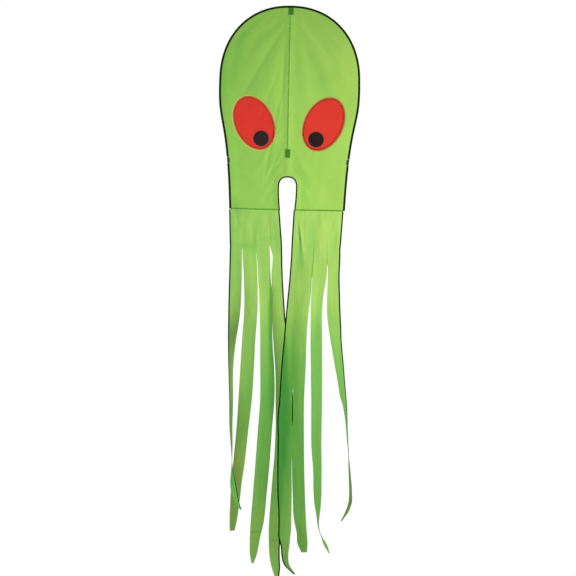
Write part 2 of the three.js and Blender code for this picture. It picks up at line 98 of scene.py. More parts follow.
LOBE_RADIUS = 4.5 * MM
LOBE_OFFSET = 6 * MM  # from the middle of the tube, along it
LOBE_INSET = 5.5 * MM  # from the tube's axis
SIDE_SLEEVE_END = -977.5 * MM
SPINE_OFFSET = 3.6 * MM
ROD_RADIUS = 2 * MM

# Tapes and seams
TAPE_WIDTH = 6.7 * MM
TAPE_THICKNESS = 1.3 * MM
TAPE_FOLD = 1.2 * MM
SLEEVE_WIDTH = 10.6 * MM
SLEEVE_RADIUS = 4.3 * MM
SLEEVE_MIDDLE = 4.5 * MM
SEWING_GAP = 0.3 * MM  # between pieces that are sewn or pushed together, as in the CAD
UNDER_SLEEVE = 7 * MM  # from the head's edge to the sail's own
UNDER_BINDING = 3.5 * MM  # from the notch's edge to the sail's own
SEAM_ALLOWANCE = 7 * MM
EYE_OVERLAP = 9 * MM
EYE_LIFT = 0.7 * MM
PUPIL_LIFT = 1.4 * MM
THREAD_HEIGHT = 0.5 * MM
# Bands of thread round the eyes and pupils: out from the edge, in front of the sail, width
EYE_BAND = (-2.5 * MM, 0.8 * MM, 6.0 * MM)
OVERLOCK_BAND = (3.2 * MM, 0.4 * MM, 4.4 * MM)
PUPIL_BAND = (-1 * MM, 1.5 * MM, 2.8 * MM)

# Legs and tentacles
SLIT_LEVEL = -1150 * MM
STRIP_TOP = -1118 * MM  # each tentacle's own cloth starts here, above the slits
BEND_LEVEL = -1890 * MM
OUTER_BEND_LEVEL = -1500 * MM
STRIP_ROW = 7 * MM  # between the rows of points of a strip
STRIP_COLUMNS = 11
JOIN_OVERLAP = 4.4 * MM
JOIN_LIFT = 0.7 * MM  # behind the strip
# Spans above and below a hinge of a tentacle
SWING_BLEND = (12 * MM, 70 * MM)
BEND_BLEND = (30 * MM, 50 * MM)
LEGS = {
    "left": {
        "sign": -1, "tentacles": (1, 2, 3, 4),
        "top": (278.3 * MM, 35.5 * MM), "foot": (271.8 * MM, 19.5 * MM),
    },
    "right": {
        "sign": 1, "tentacles": (5, 6, 7, 8),
        "top": (271.5 * MM, 31 * MM), "foot": (261.8 * MM, 24.3 * MM),
    },
}
HEM_SIDE = {1: -1, 4: 1, 5: -1, 8: 1}  # -1 where the hem is on the left edge, 1 on the right
FAINT_JOINS = {3: -2521 * MM, 4: -2560 * MM}  # a cross join near the tip of the strip, in paler cloth that paints the highlight of a fold line
TIP_PAINTED_LIGHT_SHADE = {1: 0.9, 2: -0.7, 6: 0.3, 7: 0.4, 8: 0.9}  # painted shade of the cloth near the tip, painted light where below 0
SLIT_OPENS = {
    1: -1161 * MM, 2: -1178 * MM, 3: -1140 * MM, 5: -1400 * MM, 6: -1290 * MM, 7: -1228 * MM,
}
SLIT_OVERLAP = 0.3 * MM  # of the edges of a slit where it is closed, so that it shows no light
CAMBER = {1: 3.0, 2: -3.5, 3: 3.5, 4: -3.0, 5: 3.0, 6: -3.0, 7: 3.5, 8: 2.5}  # mm, at mid-length

# Camera, light and floor
FRAME_HEIGHT = 2.7648
SENSOR_WIDTH = 36
CAMERA_DISTANCE = 9.0
FRAME_CENTRE = Vector((0.01245, 0, -1.3507))
KITE_LEAN = math.radians(1.2)
WORLD_LIGHT = 0.38
LIGHTS = [  # name, place, aim, size in metres, power in watts
    ("front_high", (-0.95, -1.2, -0.5), (0, 0, -0.7), 1.5, 14.5),
    ("front_low", (-1.3, -1.4, -2.0), (0, 0, -2.0), 1.5, 29),
    ("behind", (1.0, 1.1, -0.85), (0.2, 0, -0.85), 1.0, 32),
]
FLOOR_LEVEL = -3.1
FLOOR_RADIUS = 1.3

FORWARD = Vector((0, -1, 0))


# --- meshes


def add_object(name, data):
    made = bpy.data.objects.new(name, data)
    bpy.context.scene.collection.objects.link(made)
    return made


def make_object(name, vertices, faces, uvs=None, smooth=True):
    mesh = bpy.data.meshes.new(name)
    mesh.from_pydata([tuple(v) for v in vertices], [], faces)
    if uvs is not None:
        layer = mesh.uv_layers.new(name="cloth")
        for loop in mesh.loops:
            layer.data[loop.index].uv = uvs[loop.vertex_index]
    for polygon in mesh.polygons:
        polygon.use_smooth = smooth
    mesh.validate()
    mesh.update()
    return add_object(name, mesh)


def grid_faces(rows, columns, closed=False):
    """Quads between rows of points; a closed grid joins its last column to its first."""
    faces = []
    around = columns if closed else columns - 1
    for row in range(rows - 1):
        for column in range(around):
            after = (column + 1) % columns
            a = row * columns + column
            b = row * columns + after
            faces.append((a, b, b + columns, a + columns))
    return faces


def make_grid(name, rows, columns, place):
    """A sheet; place(down, across), both shares, gives a point and where it is on the cloth."""
    shares = [(row / (rows - 1), k / (columns - 1)) for row in range(rows) for k in range(columns)]
    vertices, uvs = zip(*(place(down, across) for down, across in shares))
    return make_object(name, vertices, grid_faces(rows, columns), uvs)


def tube_faces(rows, columns):
    """The quads of a closed tube and the polygons over its two ends."""
    faces = grid_faces(rows, columns, closed=True)
    faces.append(tuple(range(columns)))
    faces.append(tuple((rows - 1) * columns + k for k in reversed(range(columns))))
    return faces


def sweep(name, run, section):
    """A closed tube: section points (reach, lift) carried along a run of (point, inward, facing).

    inward and facing are the directions of reach and lift at the point.
    """
    vertices = []
    uvs = []
    along = 0.0
    for i, (point, inward, facing) in enumerate(run):
        along += (point - run[i - 1][0]).length if i else 0
        outline = section(i)
        around = 0.0
        for k, (reach, lift) in enumerate(outline):
            around += math.dist(outline[k], outline[k - 1]) if k else 0
            vertices.append(point + inward * reach + facing * lift)
            uvs.append((around, along))
    made = make_object(name, vertices, tube_faces(len(run), len(outline)), uvs)
    fix_normals(made)
    return made


def fix_normals(made):
    work = bmesh.new()
    work.from_mesh(made.data)
    bmesh.ops.recalc_face_normals(work, faces=work.faces)
    work.to_mesh(made.data)
    work.free()


def apply_modifiers(made):
    graph = bpy.context.evaluated_depsgraph_get()
    mesh = bpy.data.meshes.new_from_object(made.evaluated_get(graph))
    made.modifiers.clear()
    made.data = mesh
    for polygon in mesh.polygons:
        polygon.use_smooth = True


# --- the head's lines


def superellipse(half_width, height, power, steps, centre):
    """From the top of an arch down to its side."""
    points = []
    for i in range(steps + 1):
        angle = i / steps * math.pi / 2
        across = math.sin(angle) ** (2 / power)
        up = math.cos(angle) ** (2 / power)
        points.append((half_width * across, centre + height * up))
    return points


def bezier(handles, steps):
    points = []
    count = len(handles) - 1
    for i in range(1, steps + 1):
        t = i / steps
        weights = [math.comb(count, k) * t**k * (1 - t) ** (count - k) for k in range(count + 1)]
        x = sum(w * h[0] for w, h in zip(weights, handles))
        z = sum(w * h[1] for w, h in zip(weights, handles))
        points.append((x, z))
    return points


def head_outline():
    """Right half of the head's edge, from the nose to the cross seam."""
    widest = CROWN_TOP - CROWN_HEIGHT
    crown = superellipse(HEAD_HALF_WIDTH, CROWN_HEIGHT, CROWN_POWER, 44, widest)
    handles = [(HEAD_HALF_WIDTH, widest), SIDE_BULGE, SIDE_TUCK, (SEAM_HALF_WIDTH, SEAM_LEVEL)]
    return crown + bezier(handles, 48)


def notch_outline(extra=0.0):
    """Right half of the notch, from its top to the cross seam."""
    half_width = NOTCH_HALF_WIDTH + extra
    top = superellipse(half_width, NOTCH_HEIGHT + extra, NOTCH_POWER, 18, NOTCH_CENTRE)
    middle = (half_width, (NOTCH_CENTRE + SEAM_LEVEL) / 2)
    handles = [(half_width, NOTCH_CENTRE), middle, (NOTCH_FOOT + extra, SEAM_LEVEL)]
    return top + bezier(handles, 14)


def inward_directions(points):
    """For each point of a line that runs down the right side, the direction into the sail."""
    directions = []
    for i in range(len(points)):
        before = points[max(i - 1, 0)]
        after = points[min(i + 1, len(points) - 1)]
        along = Vector((after[0] - before[0], 0, after[1] - before[1])).normalized()
        if i == 0:
            along = Vector((1, 0, 0))
        directions.append(Vector((along.z, 0, -along.x)))
    return directions


def even_line(points, spacing):
    """The same line with points evenly apart."""
    flat = np.array(points)
    steps = np.hypot(*np.diff(flat, axis=0).T)
    distance = np.concatenate([[0], np.cumsum(steps)])
    count = max(2, int(round(distance[-1] / spacing)) + 1)
    wanted = np.linspace(0, distance[-1], count)
    x = np.interp(wanted, distance, flat[:, 0])
    z = np.interp(wanted, distance, flat[:, 1])
    return list(zip(x.tolist(), z.tolist()))


def inset_line(points, inset):
    directions = inward_directions(points)
    return [(p[0] + d.x * inset, p[1] + d.z * inset) for p, d in zip(points, directions)]


def on_side(sign, vectors):
    """Points and directions of the right side, moved to the side with this sign."""
    return tuple(Vector((sign * v.x, v.y, v.z)) for v in vectors)


def both_halves(right):
    """A run from the left side over the middle to the right, from its right half."""
    return [on_side(-1, entry) for entry in reversed(right[1:])] + right


# --- how the cloth lies

# Tension creases of the head: start (x, z), heading in degrees (0 is straight down, positive to
# the right), length, width and height, in millimetres. A negative height is a hollow.
SAIL_CREASES = [
    ((-10, -40), -52, 330, 22, 2.2),
    ((-14, -50), -40, 420, 26, -2.0),
    ((-12, -60), -30, 470, 9, 2.0),
    ((-10, -70), -19, 500, 30, -1.8),
    ((-30, -190), -1.5, 300, 5, 2.4),
    ((-36, -400), -10, 470, 5, 2.8),
    ((-26, -400), -12, 400, 7, -2.2),
    ((-14, -230), -2, 330, 6, -1.6),
    ((10, -40), 55, 300, 24, 2.0),
    ((14, -60), 42, 380, 8, -1.8),
    ((12, -70), 28, 430, 28, 1.8),
    ((10, -90), 14, 460, 26, -1.6),
    ((-60, -320), -20, 260, 10, 1.6),
    ((-20, -560), -30, 320, 12, -1.8),
    ((-30, -740), -45, 110, 6, 2.2),
    ((-8, -690), -30, 200, 8, 1.8),
    ((30, -560), 36, 190, 6, -2.6),
    ((44, -560), 36, 170, 7, 2.0),
    ((12, -640), 24, 260, 16, -1.6),
    ((10, -730), 40, 180, 12, 1.6),
    ((70, -860), 30, 120, 12, -1.4),
    ((-70, -860), -28, 120, 12, 1.4),
    ((-330, -380), 62, 200, 18, 1.2),
    ((325, -420), -60, 190, 18, 1.2),
    ((-290, -760), 70, 160, 10, 1.2),
    ((285, -800), -75, 150, 10, 1.2),
]

LEG_CREASES = [
    ((50, -1030), 8, 210, 5, 4.4),
    ((64, -1040), 6, 190, 6, -3.4),
    ((-215, -1060), 2, 110, 5, 1.4),
    ((-146, -1075), 1, 110, 5, -1.4),
    ((-82, -1050), 1, 100, 5, 1.4),
    ((-262, -1120), 78, 200, 5, 1.8),
    ((130, -1100), 0, 190, 6, 1.5),
    ((200, -1090), 0, 130, 6, -1.4),
    ((-250, -990), 14, 90, 10, 1.4),
    ((-180, -990), -8, 100, 12, -1.2),
    ((-100, -988), 10, 90, 12, 1.2),
    ((90, -988), -10, 90, 12, 1.2),
    ((160, -990), 8, 100, 12, -1.3),
    ((230, -990), -12, 90, 10, 1.3),
]

# Patches of painted shade on the cloth, where it lets less light through: the shade of creases,
# folds and turned strips, or painted light where the last number is below 0:
# (start, heading, length, width, painted darkness), in the same measures as the creases.
PAINTED_LIGHT_SHADE_PATCHES = [
    # Painted shade over the lower legs and tentacles, where less light reaches them.
    ((0, -1470), 0, 1000, 1200, 0.62),
    ((-180, -1180), 0, 380, 60, -0.30),
    ((180, -1440), 0, 560, 60, 0.30),
    ((-325, -200), -8, 420, 46, 0.55),
    ((-215, -90), -14, 330, 26, 0.30),
    ((-120, -40), -46, 260, 12, 0.30),
    ((-40, -120), -4, 380, 20, -0.16),
    ((-30, -240), -2, 300, 4.5, -0.55),
    ((-46, -380), -10, 420, 5, -0.45),
    ((-34, -470), -12, 380, 7, 0.30),
    # Painted light along the spine, against the shadow of the rod behind the sail.
    ((0, -10), 0, 690, 5, -0.24),
    ((40, -60), 34, 300, 18, -0.20),
    ((70, -180), 26, 320, 12, 0.16),
    ((250, -150), 14, 260, 34, -0.22),
    ((-16, -640), -22, 260, 9, 0.34),
    ((-40, -690), -24, 200, 7, -0.40),
    ((36, -560), 34, 150, 6, 0.42),
    ((48, -575), 34, 130, 6, -0.34),
    ((20, -760), 40, 150, 12, 0.22),
    ((-230, -800), -12, 170, 26, -0.16),
    ((-255, -900), 10, 130, 20, 0.30),
    ((180, -840), -6, 140, 30, -0.18),
    ((-262, -985), -4, 300, 16, 0.26),
    ((-200, -1000), 14, 150, 20, -0.26),
    ((-130, -990), -10, 200, 16, 0.22),
    ((-60, -1010), 8, 190, 14, 0.34),
    ((-262, -1136), 76, 120, 9, 0.24),
    ((-150, -1128), 104, 110, 9, 0.20),
    ((52, -1020), 7, 240, 6, 0.75),
    ((66, -1030), 6, 200, 6, -0.40),
    ((60, -1090), 3, 240, 20, 0.30),
    ((120, -990), 4, 240, 22, 0.22),
    ((190, -1000), -4, 220, 22, -0.30),
    ((240, -1050), -5, 190, 12, 0.20),
    # Painted light on the outer left tentacles, where they are turned away from the front lamps.
    ((-215, -1340), 0, 680, 60, -0.55),
    ((-288, -1440), 0, 260, 20, -0.50),
    ((190, -1370), 0, 440, 85, 0.24),
]


def clamp(value):
    return min(1, max(0, value))


def crease_depth(creases, x, z):
    """How far the creases push the cloth forward at a point, in metres."""
    total = 0.0
    for (x0, z0), heading, length, width, height in creases:
        angle = math.radians(heading)
        across_x, down_x = math.cos(angle), math.sin(angle)
        dx = x / MM - x0
        dz = z0 - z / MM
        along = (dx * down_x + dz * across_x) / length
        if not 0 < along < 1:
            continue
        spread = width * (0.55 + 0.9 * along)
        across = (dx * across_x - dz * down_x) / spread
        fade = math.sin(math.pi * along) ** 0.8
        total += height * fade * math.exp(-across * across)
    return total * MM


def paint_light_and_shade(made, tip_light_shade=0.0):
    """Keeps the painted light and shade of each point of a cloth with it, for its material to read.

    The painted shade for the tip, painted light where below 0, is added towards the tip of a
    tentacle.
    """
    painted_light_shade = made.data.attributes.new("painted_light_shade", "FLOAT", "POINT")
    for vertex in made.data.vertices:
        x, _, z = vertex.co
        lower = clamp((BEND_LEVEL - z) / (300 * MM))
        # The patches take the shape of creases; their sum is the painted shade here, painted light
        # where below 0.
        painted_light_shade.data[vertex.index].value = crease_depth(PAINTED_LIGHT_SHADE_PATCHES, x, z) / MM + tip_light_shade * lower


def ripple(x, z, scale, seed):
    return noise.noise(Vector((x * scale, z * scale, seed)))


def distance_from(line, x, z):
    """How far a point is from the nearest point of a line that runs down the right side."""
    return float(np.min(np.hypot(line[:, 0] - abs(x), line[:, 1] - z)))


def sail_depth(x, z):
    """The sail's own shape: y at a point of the head, 0 where it is sewn down and at the spine."""
    from_sleeve = distance_from(SLEEVE_LINE, x, z)
    from_notch = distance_from(NOTCH_LINE, x, z)
    hold = clamp((from_sleeve - 12 * MM) / (38 * MM))
    hold *= clamp((from_notch - 8 * MM) / (20 * MM))
    hold *= clamp(abs(x) / (30 * MM) + 0.15)
    hold *= clamp((z - SEAM_LEVEL) / (40 * MM)) ** 0.5
    belly = 4.5 * MM * clamp(from_sleeve / (150 * MM))
    soft = 0.8 * MM * ripple(x, z, 9, 3) + 0.35 * MM * ripple(x, z, 30, 8)
    return -(belly + crease_depth(SAIL_CREASES, x, z) + soft) * hold


def leg_depth(x, z):
    """The leg's own shape between the cross seam and the slits, flat again where it is sewn."""
    hold = clamp((SEAM_LEVEL - z) / (30 * MM))
    soft = 1.2 * MM * ripple(x, z, 8, 5) + 0.4 * MM * ripple(x, z, 28, 2)
    return -(crease_depth(LEG_CREASES, x, z) + soft) * hold


OUTLINE = head_outline()
SLEEVE_LINE = np.array(even_line(OUTLINE, 5 * MM))
NOTCH_LINE = np.array(even_line(notch_outline(), 4 * MM))


# --- materials


class Graph:
    """The shader nodes of a material or of the world; most methods return an output."""

    def __init__(self, tree):
        self.tree = tree
        tree.nodes.clear()

    def put(self, socket, value):
        """Links another node's output to a socket, or sets a number or a colour on it."""
        if isinstance(value, bpy.types.NodeSocket):
            self.tree.links.new(value, socket)
        elif isinstance(value, tuple):
            socket.default_value = (*value, 1)
        else:
            socket.default_value = value

    def add(self, kind, **inputs):
        """A new node; an underscore in an input's name stands for a space."""
        made = self.tree.nodes.new(kind)
        for name, value in inputs.items():
            self.put(made.inputs[name.replace("_", " ")], value)
        return made

    def math(self, operation, *values):
        made = self.add("ShaderNodeMath")
        made.operation = operation
        for socket, value in zip(made.inputs, values):
            self.put(socket, value)
        return made.outputs[0]

    def times(self, a, b):
        return self.math("MULTIPLY", a, b)

    def plus(self, a, b):
        return self.math("ADD", a, b)

    def minus(self, a, b):
        return self.math("SUBTRACT", a, b)

    def weighted(self, *layers):
        """The sum of outputs, each times its own weight."""
        total = None
        for value, weight in layers:
            part = self.times(value, weight)
            total = part if total is None else self.plus(total, part)
        return total

    def wave(self, coordinate, pitch):
        return self.math("SINE", self.times(coordinate, 2 * math.pi / pitch))

    def stripes(self, coordinate, pitch, share):
        """1 on a line of the given share of each pitch, else 0, with soft sides."""
        part = self.math("FRACT", self.math("DIVIDE", coordinate, pitch))
        centred = self.math("ABSOLUTE", self.minus(part, 0.5))
        half = share / 2
        ramp = self.add("ShaderNodeMapRange", Value=centred, From_Min=half + 0.04, From_Max=half)
        ramp.interpolation_type = "SMOOTHSTEP"
        return ramp.outputs[0]

    def mix_colour(self, factor, a, b):
        made = self.add("ShaderNodeMix")
        made.data_type = "RGBA"
        for index, value in ((0, factor), (6, a), (7, b)):
            self.put(made.inputs[index], value)
        return made.outputs[2]

    def noise(self, vector, scale, detail=3.0, roughness=0.5):
        inputs = {"Vector": vector, "Scale": scale, "Detail": detail, "Roughness": roughness}
        return self.add("ShaderNodeTexNoise", **inputs).outputs["Fac"]

    def bumps(self, *layers):
        """Stacks (height, strength, distance) layers into one normal."""
        normal = None
        for height, strength, distance in layers:
            bump = self.add("ShaderNodeBump", Height=height, Strength=strength, Distance=distance)
            if normal is not None:
                self.put(bump.inputs["Normal"], normal)
            normal = bump.outputs[0]
        return normal

    def surface(self, **inputs):
        return self.add("ShaderNodeBsdfPrincipled", **inputs).outputs[0]

    def mix_shaders(self, share, first, second):
        """The second shader by its share, and the first for the rest."""
        made = self.add("ShaderNodeMixShader")
        for socket, value in zip(made.inputs, (share, first, second)):
            self.put(socket, value)
        return made.outputs[0]

    def end(self, shader, kind="ShaderNodeOutputMaterial"):
        self.put(self.add(kind).inputs[0], shader)

    def end_lit_through(self, front, share, **inputs):
        """Ends a material with the share of the light that gets through it from behind."""
        back = self.add("ShaderNodeBsdfTranslucent", **inputs).outputs[0]
        self.end(self.mix_shaders(share, front, back))


def new_material(name):
    material = bpy.data.materials.new(name)
    material.use_nodes = True
    return material, Graph(material.node_tree)


def cloth_coordinates(graph):
    """The cloth's own u and v in metres, so that the weave stays with it."""
    uv = graph.add("ShaderNodeUVMap")
    uv.uv_map = "cloth"
    split = graph.add("ShaderNodeSeparateXYZ", Vector=uv.outputs[0])
    return uv.outputs[0], split.outputs[0], split.outputs[1]


def object_coordinates(graph):
    return graph.add("ShaderNodeTexCoord").outputs["Object"]


def painted_crease_streaks(graph, u, v, radial):
    """Soft streaks of painted shade and painted light that stand in for tension creases: fanned out
    from the nose, or along a strip.
    """
    if radial:
        below = graph.plus(v, 0.10)
        angle = graph.math("ARCTAN2", u, below)
        distance = graph.math("SQRT", graph.plus(graph.times(u, u), graph.times(below, below)))
        across = graph.times(angle, 6.5)
        along = graph.times(distance, 3.2)
    else:
        across = graph.times(u, 55.0)
        along = graph.times(v, 3.4)
    spread = graph.add("ShaderNodeCombineXYZ", X=across, Y=along)
    return graph.noise(spread.outputs[0], 1.0, 3.0, 0.55)


def ripstop(name, reflected, passed, share_passed, radial=False, streaky=0.2, shine=0.15):
    """Thin plain-woven nylon with a heavier thread every few millimetres, lit from both sides, with
    painted crease streaks and painted light and shade.
    """
    thread, square, heavy_share = 0.35 * MM, 5 * MM, 0.10
    material, graph = new_material(name)
    vector, u, v = cloth_coordinates(graph)
    heavy = graph.math("MAXIMUM", *(graph.stripes(along, square, heavy_share) for along in (u, v)))
    weave = graph.times(graph.wave(u, thread), graph.wave(v, thread))
    cloudy = graph.noise(vector, 9.0, 4.0)
    crinkle = graph.noise(vector, 90.0, 5.0, 0.6)
    # Painted shade: crease streaks, added to random cloudiness, the heavier threads and crinkle.
    streaks = graph.minus(painted_crease_streaks(graph, u, v, radial), 0.38)
    shade = graph.weighted((streaks, 3 * streaky), (cloudy, 0.18), (heavy, 0.10), (crinkle, 0.06))
    painted_light_shade = graph.add("ShaderNodeAttribute")
    painted_light_shade.attribute_name = "painted_light_shade"
    # The painted light and shade kept on the mesh darkens or lightens the light let through.
    weave_and_painted_shade = graph.plus(shade, graph.times(painted_light_shade.outputs["Fac"], 1.3))
    darker = tuple(c * 0.6 for c in reflected)
    darker_through = tuple(c * share for c, share in zip(passed, (0.5, 0.66, 0.6)))
    normal = graph.bumps(
        (crinkle, 0.25, 1.2 * MM), (heavy, 0.35, 0.1 * MM), (weave, 0.2, 0.04 * MM)
    )
    front = graph.surface(
        Base_Color=graph.mix_colour(shade, reflected, darker), Roughness=0.5,
        Specular_IOR_Level=shine, Normal=normal,
    )
    through = graph.mix_colour(weave_and_painted_shade, passed, darker_through)
    graph.end_lit_through(front, share_passed, Color=through, Normal=normal)
    return material


def tape(name, colour, thread_colour, rows, rib=0.7 * MM, glow=0.0):
    """Woven binding: fine ribs across, worn lighter patches, and rows of dashed stitches.

    glow is the share of light that gets through it from behind.
    """
    thread_half_width, stitch_pitch, stitch_share = 0.35 * MM, 3.2 * MM, 0.72
    material, graph = new_material(name)
    vector, u, v = cloth_coordinates(graph)
    ribs = graph.wave(v, rib)
    fuzz = graph.noise(vector, 700.0, 4.0, 0.7)
    worn = graph.noise(vector, 28.0, 4.0, 0.6)
    in_rows = [graph.math("ABSOLUTE", graph.minus(u, place)) for place in rows]
    in_rows = [graph.math("LESS_THAN", away, thread_half_width) for away in in_rows]
    dashes = graph.stripes(v, stitch_pitch, stitch_share)
    stitches = graph.times(graph.math("MAXIMUM", *in_rows), dashes)
    shade = graph.weighted((worn, 0.4), (ribs, 0.10), (fuzz, 0.15))
    lighter = tuple(min(1, c * 2.0 + 0.002) for c in colour)
    base = graph.mix_colour(stitches, graph.mix_colour(shade, colour, lighter), thread_colour)
    normal = graph.bumps((fuzz, 0.3, 0.2 * MM), (ribs, 0.5, 0.1 * MM), (stitches, 0.8, 0.3 * MM))
    front = graph.surface(Base_Color=base, Roughness=0.78, Specular_IOR_Level=0.06, Normal=normal)
    graph.end_lit_through(front, glow, Color=TAPE_THROUGH)
    return material


def satin_stitch(name, colour):
    """Close zigzag thread over a cut edge."""
    material, graph = new_material(name)
    vector, u, v = cloth_coordinates(graph)
    threads = graph.wave(graph.plus(v, graph.times(u, 0.35)), 0.9 * MM)
    uneven = graph.noise(vector, 260.0, 3.0)
    shade = graph.plus(graph.times(threads, 0.22), uneven)
    dark = tuple(c * 0.45 for c in colour)
    graph.end(graph.surface(
        Base_Color=graph.mix_colour(shade, dark, colour), Roughness=0.42, Sheen_Weight=0.05,
        Normal=graph.bumps((threads, 0.6, 0.2 * MM)),
    ))
    return material


def moulded(name, colour, roughness, metallic=0.0, coat=0.0, glow=0.0):
    """Rods, vinyl and metal: a slightly uneven colour with fine grain and scuffs.

    glow is the share of light that gets through it from behind.
    """
    material, graph = new_material(name)
    place = object_coordinates(graph)
    fine = graph.noise(place, 900.0, 4.0, 0.6)
    scuffs = graph.noise(place, 60.0, 6.0, 0.7)
    lighter = tuple(min(1, c * 1.3 + 0.01) for c in colour)
    base = graph.mix_colour(graph.times(scuffs, 0.6), colour, lighter)
    front = graph.surface(
        Base_Color=base, Roughness=graph.math("MULTIPLY_ADD", fine, 0.25, roughness - 0.12),
        Metallic=metallic, Coat_Weight=coat, Normal=graph.bumps((fine, 0.25, 0.1 * MM)),
    )
    graph.end_lit_through(front, glow, Color=base)
    return material


def pale_floor():
    material, graph = new_material("pale_floor")
    mottled = graph.noise(object_coordinates(graph), 3.0, 4.0)
    colour = graph.mix_colour(mottled, (0.84, 0.84, 0.83), (0.88, 0.88, 0.87))
    graph.end(graph.surface(Base_Color=colour, Roughness=0.8))
    return material


CLOTH_FRONT = (0.050, 0.49, 0.050)
CLOTH_THROUGH = (0.42, 0.56, 0.11)
LEG_FRONT = (0.075, 0.52, 0.085)
LEG_THROUGH = (0.46, 0.58, 0.125)
TAPE_THROUGH = (0.75, 0.38, 0.22)
SAIL = ripstop("sail_ripstop", CLOTH_FRONT, CLOTH_THROUGH, 0.6, radial=True, streaky=0.16)
LEG = ripstop("leg_ripstop", LEG_FRONT, LEG_THROUGH, 0.6)
EYE = ripstop("eye_ripstop", (0.58, 0.011, 0.010), (0.76, 0.060, 0.035), 0.45, streaky=0.12)
PUPIL = ripstop("pupil_ripstop", (0.024, 0.013, 0.013), (0.02, 0.004, 0.004), 0.05, shine=0.1)
# Paler than the leg cloth: painted highlight of a fold line near a tentacle's tip.
JOIN_PAINTED_HIGHLIGHT = ripstop("join_painted_highlight", (0.34, 0.72, 0.26), (0.70, 0.90, 0.30), 0.5)
SEAM = ripstop("seam_ripstop", CLOTH_FRONT, (0.55, 0.50, 0.10), 0.75)
SLEEVE = tape("sleeve_tape", (0.007, 0.011, 0.003), (0.014, 0.020, 0.008), (12.5 * MM, 30 * MM))
HEM = tape("hem_tape", (0.006, 0.010, 0.005), (0.014, 0.022, 0.012), (5.2 * MM, 12.5 * MM))
POCKET = tape(
    "pocket_webbing", (0.012, 0.014, 0.006), (0.03, 0.04, 0.02), (2 * MM, 24 * MM),
    rib=1.2 * MM, glow=0.55,
)
EYE_STITCH = satin_stitch("eye_stitch", (0.55, 0.085, 0.012))
EYE_OVERLOCK = satin_stitch("eye_overlock", (0.85, 0.60, 0.06))
PUPIL_STITCH = satin_stitch("pupil_stitch", (0.10, 0.012, 0.010))
ROD = moulded("fibreglass_rod", (0.93, 0.91, 0.86), 0.35, coat=0.3, glow=0.96)
FERRULE = moulded("ferrule_metal", (0.55, 0.56, 0.58), 0.35, metallic=1.0)
VINYL = moulded("black_vinyl", (0.006, 0.008, 0.006), 0.5)

# For the CAD nodes that nothing replaces, by slot
INNER_MATERIALS = {"rod": ROD, "ferrule": FERRULE, "vinyl": VINYL}


def dress(made, material, stands_for=None):
    """Gives a piece its material and, if there is one, hides the CAD node that it replaces."""
    made.data.materials.clear()
    made.data.materials.append(material)
    if stands_for:
        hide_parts(stands_for)
    return made


# --- the head

# The edge of an eye or a pupil is an ellipse: (centre, half width, half height, tilt).


def eye_edge(sign):
    return (sign * EYE_CENTRE[0], EYE_CENTRE[1]), EYE_HALF_WIDTH, EYE_HALF_LENGTH, -sign * EYE_TILT


def pupil_edge(sign):
    return (sign * PUPIL_CENTRE[0], PUPIL_CENTRE[1]), PUPIL_RADIUS, PUPIL_RADIUS, 0


def grown(edge, by):
    centre, half_across, half_up, tilt = edge
    return centre, half_across + by, half_up + by, tilt


def ellipse_loop(edge, steps, share=1.0):
    """Points of an ellipse shrunk to a share of its size."""
    centre, half_across, half_up, tilt = edge
    points = []
    for i in range(steps):
        angle = i / steps * 2 * math.pi
        x = half_across * share * math.cos(angle)
        z = half_up * share * math.sin(angle)
        points.append((
            centre[0] + x * math.cos(tilt) - z * math.sin(tilt),
            centre[1] + x * math.sin(tilt) + z * math.cos(tilt),
        ))
    return points


def inside_ellipse(x, z, edge):
    centre, half_across, half_up, tilt = edge
    dx, dz = x - centre[0], z - centre[1]
    across = dx * math.cos(tilt) + dz * math.sin(tilt)
    up = -dx * math.sin(tilt) + dz * math.cos(tilt)
    return (across / half_across) ** 2 + (up / half_up) ** 2 < 1


def sail_outline(spacing):
    """The sail's own edge, under the sleeve and the binding, as one closed line."""
    under_sleeve = even_line(inset_line(OUTLINE, UNDER_SLEEVE), spacing)
    under_sleeve[0] = (0.0, under_sleeve[0][1])
    half = under_sleeve + list(reversed(even_line(notch_outline(UNDER_BINDING), spacing)))
    return half + [(-x, z) for x, z in reversed(half[1:-1])]


def points_between(edge_points, spacing):
    """Points in staggered rows over the head, none of them close to a point of an edge."""
    near = np.array([tuple(point) for point in edge_points])
    points = []
    row = 0
    z = -spacing
    while z > SEAM_LEVEL:
        x = -HEAD_HALF_WIDTH + (row % 2) * spacing / 2
        while x < HEAD_HALF_WIDTH:
            if np.min(np.hypot(near[:, 0] - x, near[:, 1] - z)) > spacing * 0.6:
                points.append(Vector((x, z)))
            x += spacing
        z -= spacing * 0.87
        row += 1
    return points


def make_sail():
    """One sheet, cut away behind the eyes except for the overlap that they are sewn to."""
    spacing = 7 * MM
    holes = [grown(eye_edge(sign), -EYE_OVERLAP) for sign in (-1, 1)]
    outline = sail_outline(spacing)
    points = []
    edges = []
    for loop in [outline] + [ellipse_loop(hole, 96) for hole in holes]:
        first = len(points)
        points += [Vector(point) for point in loop]
        edges += [(first + i, first + (i + 1) % len(loop)) for i in range(len(loop))]
    points += points_between(points, spacing)
    found, _, triangles, *_ = delaunay_2d_cdt(points, edges, [list(range(len(outline)))], 1, 1e-6)
    kept = []
    for triangle in triangles:
        x = sum(found[i].x for i in triangle) / 3
        z = sum(found[i].y for i in triangle) / 3
        if not any(inside_ellipse(x, z, hole) for hole in holes):
            kept.append(tuple(triangle))
    vertices = [(p.x, sail_depth(p.x, p.y), p.y) for p in found]
    sail = make_object("sail", vertices, kept, [(p.x, -p.y) for p in found])
    work = bmesh.new()
    work.from_mesh(sail.data)
    loose = [v for v in work.verts if not v.link_faces]
    bmesh.ops.delete(work, geom=loose, context="VERTS")
    work.to_mesh(sail.data)
    work.free()
    paint_light_and_shade(sail)
    return dress(sail, SAIL, "head_sail")


